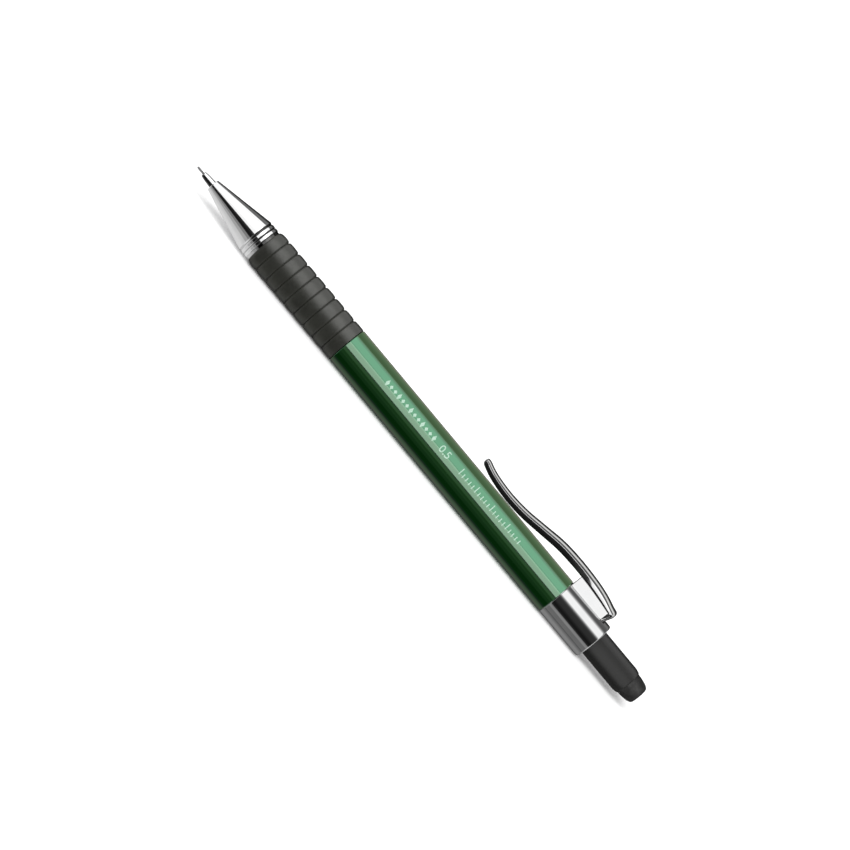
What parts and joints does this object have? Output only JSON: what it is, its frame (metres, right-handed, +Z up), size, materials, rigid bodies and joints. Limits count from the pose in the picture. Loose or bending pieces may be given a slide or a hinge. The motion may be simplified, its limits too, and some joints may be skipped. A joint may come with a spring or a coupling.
{
  "type": "lead holder",
  "caption": "Push-button lead holder with a ringed rubber grip, chrome nose cone, spring clip and twist-out eraser.",
  "frame": {"origin": "middle of the footprint, on the surface that the lower side of the barrel lies on", "axes": "+X along the pencil from the point to the eraser, +Z up through the clip"},
  "size_m": [0.145, 0.0096, 0.0138],
  "materials": {
    "green_plastic": "glossy dark green moulded plastic",
    "grip_rubber": "matt dark grey rubber with moulded rings",
    "chrome": "polished bright chrome plate",
    "black_plastic": "glossy black plastic with fine lengthwise lines",
    "eraser_rubber": "matt dark grey eraser",
    "brass": "turned brass",
    "spring_steel": "drawn spring wire",
    "clear_plastic": "milky translucent plastic tube",
    "white_plastic": "plain moulded white plastic",
    "brake_rubber": "soft black rubber",
    "lead": "dark grey graphite lead with a faint sheen"
  },
  "bodies": {
    "body": {"barrel": "green_plastic", "grip_sleeve": "grip_rubber", "nose_cone": "chrome", "clutch_sleeve": "brass", "rear_collar": "chrome", "collar_bush": "white_plastic", "slider_spring": "spring_steel", "chuck_spring": "spring_steel"},
    "clip": {"clip": "chrome"},
    "guide": {"tip_sleeve": "chrome", "slider": "white_plastic", "lead_brake": "brake_rubber"},
    "clutch_ring": {"clutch_ring": "brass"},
    "feed": {"chuck": "brass", "chuck_connector": "white_plastic", "lead_reservoir": "clear_plastic", "spare_lead_1": "lead", "spare_lead_2": "lead", "spare_lead_3": "lead"},
    "lead": {"lead": "lead"},
    "eraser_base": {"eraser_base": "white_plastic"},
    "eraser_tube": {"eraser_tube": "black_plastic", "retaining_ring": "spring_steel"},
    "eraser_carrier": {"eraser_carrier": "white_plastic", "eraser": "eraser_rubber"}
  },
  "joints": [
    {"name": "clip_flex", "type": "hinge", "parent": "body", "child": "clip", "pos_m": [0.0557, 0, 0.00957], "axis": [0, 1, 0], "range_deg": [0, 5], "stiffness_Nm_per_rad": 0.5},
    {"name": "sleeve_retract", "type": "slide", "parent": "body", "child": "guide", "axis": [1, 0, 0], "range_m": [0, 0.0022], "stiffness_N_per_m": 100, "deforming": ["slider_spring"]},
    {"name": "button_press", "type": "slide", "parent": "body", "child": "feed", "axis": [-1, 0, 0], "range_m": [0, 0.003], "stiffness_N_per_m": 1500, "deforming": ["chuck_spring"]},
    {"name": "ring_travel", "type": "slide", "parent": "body", "child": "clutch_ring", "axis": [-1, 0, 0], "range_m": [0, 0.00065]},
    {"name": "lead_feed", "type": "slide", "parent": "feed", "child": "lead", "axis": [-1, 0, 0], "range_m": [-0.0019, 0.01]},
    {"name": "eraser_pull", "type": "slide", "parent": "feed", "child": "eraser_base", "axis": [1, 0, 0], "range_m": [0, 0.03]},
    {"name": "eraser_twist", "type": "hinge", "parent": "eraser_base", "child": "eraser_tube", "pos_m": [0.0525, 0, 0.00457], "axis": [1, 0, 0], "range_deg": [-252, 900]},
    {"name": "eraser_travel", "type": "slide", "parent": "eraser_tube", "child": "eraser_carrier", "axis": [1, 0, 0], "range_m": [-0.0028, 0.01]}
  ],
  "couplings": [
    {"joint": "ring_travel", "follows": "button_press", "ratio": 0.2},
    {"joint": "eraser_twist", "follows": "eraser_travel", "rad_per_m": 1570.8}
  ]
}
